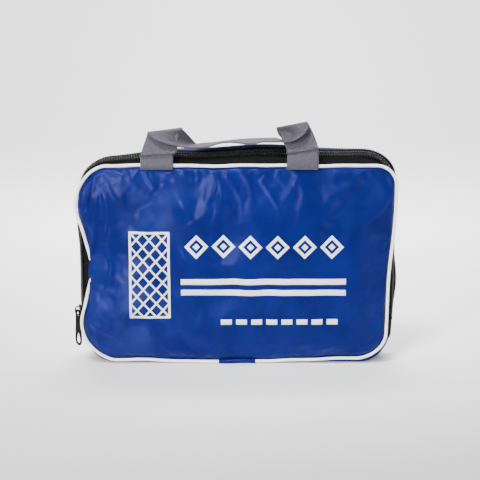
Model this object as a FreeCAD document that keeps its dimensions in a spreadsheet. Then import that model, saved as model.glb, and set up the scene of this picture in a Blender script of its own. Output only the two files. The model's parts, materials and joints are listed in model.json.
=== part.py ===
"""Portable badminton net, folded away in its zipped carry case.

The case stands on its flat base: +X is the viewer's right, -Y is the front, +Z is up, and the
origin is the middle of the base. All sizes are millimetres.

The case is a pillow: a crowned front panel and a crowned back panel, joined by a wall that
runs round both. Across the top and down the sides the wall is a black zip and a blue gusset;
underneath it is blue all the way through. The zip ends above the bottom corners, so the front
panel folds down about a level line (the fold) just above the parked slider, and what lies
below the fold stays sewn to the case.
"""
import FreeCAD, Part
import math
import os

import Sketcher

doc = FreeCAD.newDocument("badminton_net_case")
Vector = FreeCAD.Vector

SIZES = [
    # the wall and its two seams
    ("outline_width", 283), ("seam_bottom", 4), ("seam_top", 187.5), ("corner_radius", 25),
    ("depth", 40), ("top_bulge", 14), ("side_bulge", 6), ("base_half", 14),
    ("base_ease", 17), ("base_ease_drop", 1), ("skin", 1),
    # the crowned panels
    ("front_crown", 9.5), ("back_crown", 7), ("crown_reach", 70), ("crown_corner", 12),
    # the fold that the front opens about
    ("fold_height", 56), ("fold_gap", 0.3),
    # the zip
    ("coil_line", 12), ("coil_gap", 1.6), ("coil_width", 2.4), ("coil_height", 2.2),
    ("rear_tape_edge", 3), ("zip_end", 22), ("chain_end", 46),
    ("stop_length", 2.5), ("stop_width", 5), ("stop_height", 1.8), ("stop_level", 41),
    ("stop_floor", 0.1), ("stop_rounding", 0.6),
    # the slider and its pull
    ("slider_level", 50), ("slider_length", 11.2), ("slider_half", 5.1), ("slider_lip", 4),
    ("slider_floor", 0.35), ("blade_low", 2.75), ("blade_high", 4.05), ("sole_high", -2.3),
    ("sole_low", -3.3), ("web_half", 0.2), ("web_length", 3), ("slider_back", 0.2),
    ("bail_half", 0.8), ("bail_reach", 3.5), ("bail_hole", 2.2), ("bail_top", 8.3),
    ("bail_ceiling", 7.5), ("pull_axis", 6.05), ("pull_yaw", 25), ("pull_thickness", 1.1),
    ("pull_bar", 0.5), ("pull_neck", 2.9), ("pull_shoulder", 6.2), ("pull_half", 4.6),
    ("pull_length", 34), ("pull_window_half", 2.1), ("pull_window_end", 5.2),
    ("pull_hole_half", 2.6), ("pull_hole_top", 21.5), ("pull_hole_end", 31),
    # the piping
    ("piping_radius", 2), ("piping_out", 1.6), ("piping_forward", 1.4),
    ("sleeve_radius", 2.1), ("sleeve_left", -16), ("sleeve_right", 13),
    # the seam binding inside
    ("binding_width", 3), ("binding_depth", 1.5),
    # the handle
    ("webbing_width", 30), ("webbing_thickness", 1.5), ("handle_left", -75),
    ("handle_right", 61), ("handle_face", 23.5), ("handle_foot", 184), ("handle_crease", 200),
    ("crease_gap", 0.3), ("handle_rise", 224), ("handle_sag", 212.5), ("handle_ramp", 18),
    # the folded net
    ("pack_half", 130), ("pack_front", -20.5), ("pack_back", 19), ("pack_round", 7),
    ("hem_low", 9), ("hem_high", 33), ("mesh_low", 34), ("mesh_high", 147),
    ("tape_low", 148), ("tape_high", 178), ("stack_round", 5), ("stack_front", -18),
    ("stack_back", 17), ("side_tape_width", 24), ("side_tape_edge", 125),
    ("side_tape_thickness", 1.2), ("side_tape_gap", 0.1), ("side_tape_low", 40),
    ("side_tape_high", 143),
]

sheet = doc.addObject("Spreadsheet::Sheet", "sheet")
for row, (alias, value) in enumerate(SIZES, start=1):
    sheet.set("A%d" % row, alias)
    sheet.set("B%d" % row, str(value))
    sheet.setAlias("B%d" % row, alias)
doc.recompute()


def size(expression):
    """The value of an expression over the sheet's aliases."""
    return float(sheet.evalExpression(expression))


def bound(expression):
    """The expression with every alias written as the sheet's own."""
    for alias, _ in sorted(SIZES, key=lambda pair: -len(pair[0])):
        expression = expression.replace(alias, "#" + alias.upper() + "#")
    for alias, _ in SIZES:
        expression = expression.replace("#" + alias.upper() + "#", "sheet." + alias)
    return expression


PARTS = []


def keep(feature, label):
    """Mark a feature as a sub-part: its label is the node's name."""
    feature.Label = label
    PARTS.append(feature)
    return feature


# ---------------------------------------------------------------- the wall

def bulge_at(y, sagitta):
    """How far the wall stands outside its seams at depth y, on an arc of this sagitta."""
    half = size("depth / 2")
    radius = (half ** 2 + sagitta ** 2) / (2 * sagitta)
    return math.sqrt(radius ** 2 - y ** 2) - (radius - sagitta)


def base_at(y):
    """How far the base stands below the seams at depth y: flat in the middle."""
    flat, ease, half = size("base_half"), size("base_ease"), size("depth / 2")
    drop = size("seam_bottom")
    if abs(y) <= flat:
        return drop
    if abs(y) <= ease:
        return drop - size("base_ease_drop") * (abs(y) - flat) / (ease - flat)
    return (drop - size("base_ease_drop")) * (half - abs(y)) / (half - ease)


def rounded_outline(y, half_width, low, high, radius):
    """A closed rounded rectangle standing in the plane Y = y."""
    bend = radius * (1 - math.sqrt(0.5))
    edges = []
    corners = [(-1, low, 1), (1, low, 1), (1, high, -1), (-1, high, -1)]
    ends = []
    for side, level, up in corners:
        x = side * half_width
        upright = Vector(x, y, level + up * radius)
        flat = Vector(x - side * radius, y, level)
        middle = Vector(x - side * bend, y, level + up * bend)
        first, last = (upright, flat) if side * up < 0 else (flat, upright)
        ends.append((first, middle, last))
    for index, (first, middle, last) in enumerate(ends):
        edges.append(Part.Arc(first, middle, last).toShape())
        edges.append(Part.LineSegment(last, ends[(index + 1) % 4][0]).toShape())
    return Part.Wire(edges)


def wall_solid(grow):
    """The solid inside the wall's surface, moved outward by grow."""
    half = size("depth / 2")
    steps = [0, 5, 10, size("base_half"), size("base_ease"), half]
    stations = [-y for y in reversed(steps[1:])] + steps
    outlines = []
    for y in stations:
        side = bulge_at(y, size("side_bulge")) + grow
        outlines.append(rounded_outline(
            y, size("outline_width / 2") + side, size("seam_bottom") - base_at(y) - grow,
            size("seam_top") + bulge_at(y, size("top_bulge")) + grow,
            size("corner_radius") + side))
    return Part.makeLoft(outlines, True, True)


def ring(name, outer_grow, inner_grow):
    """The ring between two surfaces of the wall, from which its strips are cut."""
    feature = doc.addObject("Part::Feature", name)
    feature.Shape = wall_solid(outer_grow).cut(wall_solid(inner_grow))
    return feature


def slab(name, low, high, front, back):
    """A box across the whole width, from level low to high and from depth front to back."""
    box = doc.addObject("Part::Box", name)
    box.setExpression("Length", bound("outline_width * 2"))
    box.setExpression("Width", bound("(%s) - (%s)" % (back, front)))
    box.setExpression("Height", bound("(%s) - (%s)" % (high, low)))
    box.setExpression("Placement.Base.x", bound("-outline_width"))
    box.setExpression("Placement.Base.y", bound(front))
    box.setExpression("Placement.Base.z", bound(low))
    return box


def strip(label, source, low, high, front, back):
    """The stretch of a ring or panel that lies in a slab."""
    common = doc.addObject("Part::Common", label)
    common.Base = source
    common.Tool = slab(label + "_slab", low, high, front, back)
    return keep(common, label)


def make_wall():
    skin = ring("skin_ring", 0, -size("skin"))
    coils = ring("coil_ring", size("coil_height"), 0)
    binding = ring("binding_ring", -size("skin"), -size("skin + binding_width"))
    above, under = "seam_top * 2", "fold_height - fold_gap"
    opens = "fold_height + fold_gap"
    zip_front, zip_back = "-coil_line - coil_gap / 2", "-coil_line + coil_gap / 2"
    strip("bottom_gusset", skin, "-depth", "zip_end", "-depth / 2", "depth / 2")
    strip("side_gusset", skin, "zip_end", above, "-rear_tape_edge", "depth / 2")
    strip("rear_zipper_tape", skin, "zip_end", above, zip_back, "-rear_tape_edge")
    strip("front_zipper_tape", skin, opens, above, "-depth / 2", zip_front)
    strip("front_tape_tails", skin, "zip_end", under, "-depth / 2", zip_front)
    strip("front_zipper_coil", coils, opens, above, zip_front + " - coil_width", zip_front)
    strip("rear_zipper_coil", coils, "chain_end", above, zip_back, zip_back + " + coil_width")
    strip("front_seam_binding", binding, opens, above, "-depth / 2",
          "-depth / 2 + binding_depth")
    strip("rear_seam_binding", binding, "-depth", above, "depth / 2 - binding_depth",
          "depth / 2")


# ---------------------------------------------------------------- the panels

def crowned_panel(name, crown, facing):
    """A sheet crowned outward from its seam; facing is -1 for the front, 1 for the back."""
    seam = facing * size("depth / 2")
    rounds = 6
    outlines = []
    for step in range(rounds):
        reach = step / (rounds - 1)
        inset = reach * size("crown_reach")
        corner = size("corner_radius") + reach * (size("crown_corner") - size("corner_radius"))
        outlines.append(rounded_outline(
            seam + facing * crown * math.sin(reach * math.pi / 2),
            size("outline_width / 2") - inset, size("seam_bottom") + inset,
            size("seam_top") - inset, corner))
    dome = Part.makeLoft(outlines, True, True)
    inside = dome.translated(Vector(0, -facing * size("skin"), 0))
    feature = doc.addObject("Part::Feature", name)
    feature.Shape = dome.cut(inside)
    return feature


def make_panels():
    front = crowned_panel("front_sheet", size("front_crown"), -1)
    depths = ("-depth", "0")
    strip("front_panel", front, "fold_height + fold_gap", "seam_top * 2", *depths)
    strip("front_panel_foot", front, "0", "fold_height - fold_gap", *depths)
    keep(crowned_panel("back_sheet", size("back_crown"), 1), "back_panel")


# ---------------------------------------------------------------- sketches

def new_sketch(body, name, role, offset=("0", "0", "0")):
    """A sketch on one of the body's own origin planes, moved by three expressions."""
    sketch = body.newObject("Sketcher::SketchObject", name)
    plane = [item for item in body.Origin.OriginFeatures if item.Role == role][0]
    sketch.AttachmentSupport = (plane, "")
    sketch.MapMode = "FlatFace"
    for axis, expression in zip("xyz", offset):
        sketch.setExpression("AttachmentOffset.Base." + axis, bound(expression))
    return sketch


def pin_point(sketch, edge, end, across, along):
    """Bind a sketch point's two coordinates to expressions."""
    for kind, expression in (("DistanceX", across), ("DistanceY", along)):
        if expression is None:
            continue
        index = sketch.addConstraint(
            Sketcher.Constraint(kind, -1, 1, edge, end, size(expression)))
        sketch.setExpression("Constraints[%d]" % index, bound(expression))


def polygon(sketch, points):
    """A closed polygon whose corners are pairs of expressions."""
    corners = [Vector(size(across), size(along), 0) for across, along in points]
    first = sketch.GeometryCount
    for index, corner in enumerate(corners):
        sketch.addGeometry(Part.LineSegment(corner, corners[(index + 1) % len(corners)]), False)
    for index, (across, along) in enumerate(points):
        following = first + (index + 1) % len(points)
        sketch.addConstraint(Sketcher.Constraint("Coincident", first + index, 2, following, 1))
        pin_point(sketch, first + index, 1, across, along)


def rectangle(sketch, left, right, low, high):
    polygon(sketch, [(left, low), (right, low), (right, high), (left, high)])


def circle(sketch, radius, across="0", along="0"):
    """A circle about a point given by two expressions."""
    centre = Vector(size(across), size(along), 0)
    edge = sketch.addGeometry(Part.Circle(centre, Vector(0, 0, 1), size(radius)), False)
    index = sketch.addConstraint(Sketcher.Constraint("Radius", edge, size(radius)))
    sketch.setExpression("Constraints[%d]" % index, bound(radius))
    pin_point(sketch, edge, 3, across, along)


def rounded_path(sketch, points, radius):
    """Level and upright runs through the points, rounded at each corner between them."""
    spots = [Vector(size(across), size(along), 0) for across, along in points]
    bend = size(radius)
    runs = []
    for index in range(len(spots) - 1):
        start, end = spots[index], spots[index + 1]
        direction = (end - start).normalize()
        head = start if index == 0 else start + direction * bend
        tail = end if index == len(spots) - 2 else end - direction * bend
        runs.append(sketch.addGeometry(Part.LineSegment(head, tail), False))
        upright = abs(direction.x) < 0.5
        sketch.addConstraint(Sketcher.Constraint("Vertical" if upright else "Horizontal",
                                                 runs[-1]))
        across, along = points[index + 1]
        pin_point(sketch, runs[-1], 2, across if upright else None,
                  None if upright else along)
    for index in range(1, len(spots) - 1):
        before = sketch.Geometry[runs[index - 1]].EndPoint
        after = sketch.Geometry[runs[index]].StartPoint
        inward = (before - spots[index]) + (after - spots[index])
        centre = spots[index] + inward
        angles = [math.atan2(spot.y - centre.y, spot.x - centre.x) for spot in (before, after)]
        leftward = (angles[1] - angles[0]) % (2 * math.pi) < math.pi
        start = angles[0] if leftward else angles[1]
        round_edge = Part.Circle(centre, Vector(0, 0, 1), bend)
        arc = sketch.addGeometry(Part.ArcOfCircle(round_edge, start, start + math.pi / 2), False)
        first, last = (1, 2) if leftward else (2, 1)
        sketch.addConstraint(Sketcher.Constraint("Tangent", runs[index - 1], 2, arc, first))
        sketch.addConstraint(Sketcher.Constraint("Tangent", arc, last, runs[index], 1))
        fixed = sketch.addConstraint(Sketcher.Constraint("Radius", arc, bend))
        sketch.setExpression("Constraints[%d]" % fixed, bound(radius))
    for spot, run, end in ((points[0], runs[0], 1), (points[-1], runs[-1], 2)):
        upright = abs(sketch.Geometry[run].StartPoint.x - sketch.Geometry[run].EndPoint.x) < 1e-6
        pin_point(sketch, run, end, None if upright else spot[0], spot[1] if upright else None)


def pad(body, name, sketch, length, middle=False, back=False):
    """Thicken a sketch; middle spreads it both ways, back sends it against the normal."""
    feature = body.newObject("PartDesign::Pad", name)
    feature.Profile = sketch
    feature.setExpression("Length", bound(length))
    feature.Midplane = middle
    feature.Reversed = back
    sketch.Visibility = False
    return feature


# ---------------------------------------------------------------- the piping

def piping_run(label, points, depth_at, radius="piping_radius"):
    """A round cord along a rounded path in the plane Y = depth_at."""
    body = doc.addObject("PartDesign::Body", label)
    spine = new_sketch(body, label + "_spine", "XZ_Plane", ("0", "0", "-(%s)" % depth_at))
    rounded_path(spine, points, "corner_radius + piping_out")
    across, along = points[0]
    level_start = abs(size(points[1][1]) - size(along)) < 1e-6
    if level_start:
        section = new_sketch(body, label + "_section", "YZ_Plane", ("0", "0", across))
        circle(section, radius, depth_at, along)
    else:
        section = new_sketch(body, label + "_section", "XY_Plane", ("0", "0", along))
        circle(section, radius, across, depth_at)
    doc.recompute()
    pipe = body.newObject("PartDesign::AdditivePipe", label + "_pipe")
    pipe.Profile = section
    pipe.Spine = (spine, ["Edge%d" % (index + 1) for index in range(spine.GeometryCount)])
    return keep(body, label)


def make_piping():
    left, right = "-outline_width / 2 - piping_out", "outline_width / 2 + piping_out"
    high, low = "seam_top + piping_out", "seam_bottom - piping_out"
    front, rear = "-depth / 2 - piping_forward", "depth / 2 + piping_forward"
    opens, under = "fold_height + fold_gap", "fold_height - fold_gap"
    piping_run("front_piping", [(left, opens), (left, high), (right, high), (right, opens)],
               front)
    piping_run("front_piping_foot_left", [(left, under), (left, low), ("sleeve_left", low)],
               front)
    piping_run("front_piping_foot_right",
               [(right, under), (right, low), ("sleeve_right", low)], front)
    piping_run("piping_joint_sleeve", [("sleeve_left", low), ("sleeve_right", low)], front,
               "sleeve_radius")
    ends_apart = "fold_gap / 2"
    piping_run("rear_piping", [(ends_apart, low), (right, low), (right, high), (left, high),
                               (left, low), ("-" + ends_apart, low)], rear)


# ---------------------------------------------------------------- the zip's small parts

def side_angle():
    """How far the side wall's face is turned toward the front at the coil line, in degrees."""
    sagitta, half = size("side_bulge"), size("depth / 2")
    return math.degrees(math.asin(2 * sagitta * size("coil_line")
                                  / (half ** 2 + sagitta ** 2)))


def stand_on_side(body, side, level, outward=0, yaw=0, back=0):
    """Put a body on the side wall at the coil line: its own +X points out of the wall.

    outward moves it off the wall, back moves it along the wall toward the rear, and yaw
    turns it further toward the front.
    """
    upright = Vector(0, 0, 1)
    turn = 180 + side_angle() if side < 0 else -side_angle()
    facing = FreeCAD.Rotation(upright, turn)
    reach = size("outline_width / 2") + bulge_at(size("coil_line"), size("side_bulge"))
    foot = Vector(side * reach, -size("coil_line"), level)
    spot = foot + facing.multVec(Vector(outward, side * back, 0))
    body.Placement = FreeCAD.Placement(spot, FreeCAD.Rotation(upright, turn - side * yaw))


def make_stop(label, side):
    """The metal clip across both tapes at the end of the chain."""
    body = doc.addObject("PartDesign::Body", label)
    sketch = new_sketch(body, label + "_plan", "XY_Plane")
    rectangle(sketch, "stop_floor", "stop_height", "-stop_width / 2", "stop_width / 2")
    block = pad(body, label + "_pad", sketch, "stop_length")
    doc.recompute()
    rounding = body.newObject("PartDesign::Fillet", label + "_rounding")
    rounding.Base = (block, upright_edges(block.Shape, size("stop_height")))
    rounding.setExpression("Radius", bound("stop_rounding"))
    stand_on_side(body, side, size("stop_level"))
    return keep(body, label)


def upright_edges(shape, at_x):
    """The names of the straight +Z edges that stand at X = at_x."""
    names = []
    for index, edge in enumerate(shape.Edges, start=1):
        ends = [vertex.Point for vertex in edge.Vertexes]
        if all(abs(point.x - at_x) < 1e-6 for point in ends) and \
                abs(ends[0].z - ends[-1].z) > 1e-6:
            names.append("Edge%d" % index)
    return names


def make_slider():
    """Blade outside, sole inside, joined by a web that runs between the two coils."""
    body = doc.addObject("PartDesign::Body", "zipper_slider")
    start = ("0", "0", "-slider_length / 2")
    blade = new_sketch(body, "blade_plan", "XY_Plane", start)
    polygon(blade, [
        ("slider_floor", "-slider_half"), ("blade_high", "-slider_half"),
        ("blade_high", "slider_half"), ("slider_floor", "slider_half"),
        ("slider_floor", "slider_lip"), ("blade_low", "slider_lip"),
        ("blade_low", "-slider_lip"), ("slider_floor", "-slider_lip")])
    pad(body, "blade_pad", blade, "slider_length")
    web = new_sketch(body, "web_plan", "XY_Plane", start)
    rectangle(web, "sole_low", "blade_high", "-web_half", "web_half")
    pad(body, "web_pad", web, "web_length")
    sole = new_sketch(body, "sole_plan", "XY_Plane", start)
    rectangle(sole, "sole_low", "sole_high", "-slider_half", "slider_half")
    pad(body, "sole_pad", sole, "slider_length")
    bail = new_sketch(body, "bail_plan", "XZ_Plane")
    rectangle(bail, "blade_low", "bail_top", "-bail_reach", "bail_reach")
    pad(body, "bail_pad", bail, "bail_half * 2", middle=True)
    doc.recompute()
    hole = new_sketch(body, "bail_hole_plan", "XZ_Plane")
    rectangle(hole, "blade_high", "bail_ceiling", "-bail_hole", "bail_hole")
    pocket = body.newObject("PartDesign::Pocket", "bail_hole_pocket")
    pocket.Profile = hole
    pocket.setExpression("Length", bound("bail_half * 4"))
    pocket.Midplane = True
    stand_on_side(body, -1, size("slider_level"), back=size("slider_back"))
    return keep(body, "zipper_slider")


def make_pull():
    """A flat tab: a window round the bail above, an open drop-shaped hole below."""
    body = doc.addObject("PartDesign::Body", "zipper_pull")
    plan = new_sketch(body, "pull_plan", "YZ_Plane")
    polygon(plan, [
        ("-pull_neck", "pull_bar"), ("pull_neck", "pull_bar"),
        ("pull_neck", "-pull_shoulder"), ("pull_half", "-pull_shoulder - 3"),
        ("pull_half * 0.9", "-pull_hole_end + 1"), ("pull_half * 0.45", "-pull_length"),
        ("-pull_half * 0.45", "-pull_length"), ("-pull_half * 0.9", "-pull_hole_end + 1"),
        ("-pull_half", "-pull_shoulder - 3"), ("-pull_neck", "-pull_shoulder")])
    rectangle(plan, "-pull_window_half", "pull_window_half", "-pull_window_end", "-pull_bar")
    polygon(plan, [
        ("0", "-pull_hole_top"), ("pull_hole_half", "-pull_hole_end + 3"),
        ("pull_hole_half * 0.7", "-pull_hole_end"),
        ("-pull_hole_half * 0.7", "-pull_hole_end"),
        ("-pull_hole_half", "-pull_hole_end + 3")])
    pad(body, "pull_pad", plan, "pull_thickness", middle=True)
    stand_on_side(body, -1, size("slider_level"), size("pull_axis"), size("pull_yaw"),
                  size("slider_back"))
    return keep(body, "zipper_pull")


# ---------------------------------------------------------------- the handle

def make_handle():
    """One webbing strap: two ends sewn in at the front seam, and the loop between them."""
    half = "webbing_width / 2"
    face = ("0", "0", "handle_face")
    for name, centre in (("left", "handle_left"), ("right", "handle_right")):
        body = doc.addObject("PartDesign::Body", "handle_end_" + name)
        plan = new_sketch(body, "end_plan_" + name, "XZ_Plane", face)
        rectangle(plan, "%s - %s" % (centre, half), "%s + %s" % (centre, half), "handle_foot",
                  "handle_crease - crease_gap")
        pad(body, "end_pad_" + name, plan, "webbing_thickness")
        keep(body, "handle_end_" + name)
    body = doc.addObject("PartDesign::Body", "handle_strap")
    for name, centre in (("left", "handle_left"), ("right", "handle_right")):
        plan = new_sketch(body, "riser_plan_" + name, "XZ_Plane", face)
        rectangle(plan, "%s - %s" % (centre, half), "%s + %s" % (centre, half),
                  "handle_crease + crease_gap", "handle_rise")
        if name == "left":
            pad(body, "riser_pad_" + name, plan, "webbing_thickness")
        else:
            right_riser = plan
    upper = [("handle_left - " + half, "handle_rise"), ("handle_left + " + half, "handle_rise"),
             ("handle_left + %s + handle_ramp" % half, "handle_sag"),
             ("handle_right - %s - handle_ramp" % half, "handle_sag"),
             ("handle_right - " + half, "handle_rise"), ("handle_right + " + half, "handle_rise")]
    lower = [(across, along + " - webbing_thickness") for across, along in reversed(upper)]
    deck = new_sketch(body, "deck_plan", "XZ_Plane",
                      ("0", "0", "handle_face + webbing_thickness"))
    polygon(deck, upper + lower)
    pad(body, "deck_pad", deck, "webbing_width", back=True)
    pad(body, "riser_pad_right", right_riser, "webbing_thickness")
    return keep(body, "handle_strap")


# ---------------------------------------------------------------- the folded net

def folded_stack(label, low, high, front, back, rounding):
    """A stack of folded cloth as wide as the pack."""
    body = doc.addObject("PartDesign::Body", label)
    plan = new_sketch(body, label + "_plan", "XZ_Plane", ("0", "0", "-(%s)" % back))
    rectangle(plan, "-pack_half", "pack_half", low, high)
    block = pad(body, label + "_pad", plan, "(%s) - (%s)" % (back, front))
    doc.recompute()
    soft = body.newObject("PartDesign::Fillet", label + "_rounding")
    soft.Base = (block, ["Edge%d" % (index + 1) for index in range(len(block.Shape.Edges))])
    soft.setExpression("Radius", bound(rounding))
    return keep(body, label)


def side_tape(label, left, right, face):
    """The edge tape at one end of the net, flat on the pack's front or back."""
    body = doc.addObject("PartDesign::Body", label)
    plan = new_sketch(body, label + "_plan", "XZ_Plane", ("0", "0", "-(%s)" % face))
    rectangle(plan, left, right, "side_tape_low", "side_tape_high")
    pad(body, label + "_pad", plan, "side_tape_thickness")
    return keep(body, label)


def make_net():
    folded_stack("netting", "mesh_low", "mesh_high", "pack_front", "pack_back", "pack_round")
    folded_stack("head_tape", "tape_low", "tape_high", "stack_front", "stack_back",
                 "stack_round")
    folded_stack("bottom_tape", "hem_low", "hem_high", "stack_front", "stack_back",
                 "stack_round")
    side_tape("left_side_tape", "-side_tape_edge", "side_tape_width - side_tape_edge",
              "pack_front - side_tape_gap")
    side_tape("right_side_tape", "side_tape_edge - side_tape_width", "side_tape_edge",
              "pack_back + side_tape_gap + side_tape_thickness")


# ---------------------------------------------------------------- build and write

make_wall()
make_panels()
make_piping()
make_stop("left_end_stop", -1)
make_stop("right_end_stop", 1)
make_slider()
make_pull()
make_handle()
make_net()
doc.recompute()

for item in doc.Objects:
    failed = [state for state in item.State if state in ("Invalid", "Error")]
    if failed:
        raise RuntimeError("%s did not build: %s" % (item.Label, failed))
for part in PARTS:
    shape = part.Shape
    if shape.isNull() or not shape.isValid() or not shape.Solids or shape.Volume <= 0:
        raise RuntimeError("%s has no valid solid" % part.Label)

os.makedirs("parts", exist_ok=True)
for part in PARTS:
    part.Shape.exportStep("parts/%s.step" % part.Label)
    box = part.Shape.BoundBox
    print("%-24s %d solid(s) %9.0f mm3  x %.1f..%.1f  y %.1f..%.1f  z %.1f..%.1f" % (
        part.Label, len(part.Shape.Solids), part.Shape.Volume, box.XMin, box.XMax, box.YMin,
        box.YMax, box.ZMin, box.ZMax))
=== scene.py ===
"""The look of a badminton net in its zipped carry case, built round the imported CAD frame.

Shapes are worked out in millimetres, in the CAD's own frame, and scaled to metres when their
mesh is made. The case is a soft shell: one seam outline in front, one at the back, a wall
between them that carries the zip, and a crowned panel on each side.
"""
import json
import math

import bpy
import numpy as np
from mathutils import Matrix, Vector, noise
from mathutils.bvhtree import BVHTree


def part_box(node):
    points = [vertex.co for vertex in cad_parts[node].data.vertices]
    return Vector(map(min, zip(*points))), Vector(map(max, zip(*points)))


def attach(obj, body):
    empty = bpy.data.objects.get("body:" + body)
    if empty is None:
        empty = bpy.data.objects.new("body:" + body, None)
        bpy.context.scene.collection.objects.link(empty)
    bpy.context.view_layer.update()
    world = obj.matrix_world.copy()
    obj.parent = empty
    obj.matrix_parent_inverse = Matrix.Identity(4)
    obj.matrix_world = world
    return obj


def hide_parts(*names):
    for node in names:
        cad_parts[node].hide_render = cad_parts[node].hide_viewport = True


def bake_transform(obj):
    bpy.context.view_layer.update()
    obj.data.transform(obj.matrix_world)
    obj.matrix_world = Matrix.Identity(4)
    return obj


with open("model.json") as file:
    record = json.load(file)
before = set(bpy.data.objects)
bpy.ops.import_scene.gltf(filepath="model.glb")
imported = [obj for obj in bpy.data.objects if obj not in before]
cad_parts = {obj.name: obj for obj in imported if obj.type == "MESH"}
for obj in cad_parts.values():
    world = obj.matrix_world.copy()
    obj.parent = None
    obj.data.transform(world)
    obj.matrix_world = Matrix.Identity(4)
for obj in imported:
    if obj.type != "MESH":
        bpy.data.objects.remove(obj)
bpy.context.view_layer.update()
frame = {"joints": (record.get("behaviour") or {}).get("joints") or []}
MM = 0.001
TURN = 2 * math.pi


# ---- sizes from the frame

def cad_box(node):
    """A CAD node's lowest and highest corners, in millimetres."""
    low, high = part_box(node)
    return np.array(low) / MM, np.array(high) / MM


def joint_place(name):
    """The point a hinge turns about, in millimetres."""
    joint = [item for item in frame["joints"] if item["name"] == name][0]
    return np.array(joint["pos_m"]) / MM


PANEL_LOW, PANEL_HIGH = cad_box("back_panel")
HALF_WIDTH, SEAM_LOW, SEAM_HIGH = PANEL_HIGH[0], PANEL_LOW[2], PANEL_HIGH[2]
GUSSET_HIGH = cad_box("side_gusset")[1]
SEAM_DEPTH = GUSSET_HIGH[1]
SIDE_BULGE, TOP_BULGE = GUSSET_HIGH[0] - HALF_WIDTH, GUSSET_HIGH[2] - SEAM_HIGH
TAPE_LOW, TAPE_HIGH = cad_box("rear_zipper_tape")
ZIP_END, TAPE_REAR = TAPE_LOW[2], TAPE_HIGH[1]
COIL_FRONT, COIL_REAR = cad_box("front_zipper_coil")[1][1], cad_box("rear_zipper_coil")[0][1]
FOLD, CREASE, PULL_AXIS = map(joint_place, ("flap_fold", "handle_swing", "pull_swing"))
FRONT_CORNERS, BACK_CORNERS = (27, 24, 17, 27), (25.0,) * 4
PIPING_RADIUS, PIPING_SIDES, PIPING_OUT, PIPING_FORWARD = 1.5, 14, 1.7, 1.4
WRAP_LEFT, WRAP_RIGHT, WRAP_RADIUS = -16, 13, 2.15
BINDING_RADIUS, BINDING_SQUASH, ALLOWANCE, BINDING_DEPTH = 0.75, 1.9, 1.9, 1.7
WEBBING_THICKNESS = 1.25
CLOTH_THICKNESS, TAPE_THICKNESS = 0.6, 0.5


# ---- small tools

def smooth(value):
    """0 to 1 with level ends."""
    value = np.clip(value, 0, 1)
    return value * value * (3 - 2 * value)


def bell(value, centre, width):
    return np.exp(-((value - centre) / width) ** 2)


def bows(value, rows):
    """The sum of several bells, each (height, centre, width)."""
    return sum(height * bell(value, centre, width) for height, centre, width in rows)


def add_object(name, data):
    made = bpy.data.objects.new(name, data)
    bpy.context.scene.collection.objects.link(made)
    return made


def make_mesh(name, points, faces):
    """A smooth-shaded object from points in millimetres and faces."""
    mesh = bpy.data.meshes.new(name)
    mesh.from_pydata([tuple(point * MM) for point in np.asarray(points, float)], [], faces)
    mesh.validate()
    mesh.update()
    mesh.polygons.foreach_set("use_smooth", [True] * len(mesh.polygons))
    return add_object(name, mesh)


def grid_faces(rows, columns, close_rows=False, close_columns=False):
    """Quads over a grid of points stored row by row."""
    faces = []
    for row in range(rows if close_rows else rows - 1):
        for column in range(columns if close_columns else columns - 1):
            below, beside = (row + 1) % rows, (column + 1) % columns
            faces.append((row * columns + column, row * columns + beside,
                          below * columns + beside, below * columns + column))
    return faces


def evaluated_mesh(piece):
    """A new mesh of what a piece's modifiers, or its curve, come to."""
    graph = bpy.context.evaluated_depsgraph_get()
    graph.update()
    return bpy.data.meshes.new_from_object(piece.evaluated_get(graph))


def apply_modifiers(piece):
    """Replace the mesh by its modified self and drop the modifiers."""
    mesh, old = evaluated_mesh(piece), piece.data
    piece.modifiers.clear()
    piece.data = mesh
    bpy.data.meshes.remove(old)


def thicken(piece, thickness, offset, subdivide=0):
    """Give a sheet its thickness, in millimetres, and round it off."""
    if subdivide:
        level = piece.modifiers.new("subdivide", "SUBSURF")
        level.levels = level.render_levels = subdivide
    solid = piece.modifiers.new("thickness", "SOLIDIFY")
    solid.thickness = thickness * MM
    solid.offset = offset
    solid.use_even_offset = False
    apply_modifiers(piece)


def sweep(points, radius, sides=10, closed=False, squash=1.0):
    """Points and faces of a round tube along a path, all in millimetres."""
    points = np.asarray(points, float)
    if closed:
        tangents = np.roll(points, -1, 0) - np.roll(points, 1, 0)
    else:
        tangents = np.gradient(points, axis=0)
    tangents /= np.linalg.norm(tangents, axis=1)[:, None]
    across = np.array([1.0, 0, 0] if abs(tangents[0, 1]) > 0.9 else [0, 1.0, 0])
    normal = np.cross(tangents[0], across)
    angles = (np.arange(sides) * TURN / sides)[:, None]
    rings = []
    for point, tangent, size in zip(points, tangents, np.broadcast_to(radius, len(points))):
        normal = normal - tangent * (normal @ tangent)
        normal /= np.linalg.norm(normal)
        side = np.cross(tangent, normal)
        rings.append(point + size * (np.cos(angles) * normal + squash * np.sin(angles) * side))
    faces = grid_faces(len(points), sides, close_rows=closed, close_columns=True)
    if not closed:
        last = (len(points) - 1) * sides
        faces += [tuple(range(sides))[::-1], tuple(range(last, last + sides))]
    return np.concatenate(rings), faces


def mesh_points(mesh):
    return np.array([vertex.co for vertex in mesh.vertices])


def move_points(piece, points):
    """Give a piece's mesh its points, in metres."""
    piece.data.vertices.foreach_set("co", points.reshape(-1))
    piece.data.update()


def make_sheet(name, rows, thickness, offset=-1.0, subdivide=0):
    """A sheet through rows of points."""
    piece = make_mesh(name, np.concatenate(rows), grid_faces(len(rows), len(rows[0])))
    thicken(piece, thickness, offset, subdivide)
    return piece


def join_parts(parts):
    """One list of points and faces from several."""
    verts, faces, count = [], [], 0
    for part_verts, part_faces in parts:
        verts.append(np.asarray(part_verts, float))
        faces += [tuple(index + count for index in face) for face in part_faces]
        count += len(part_verts)
    return np.concatenate(verts), faces


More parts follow.
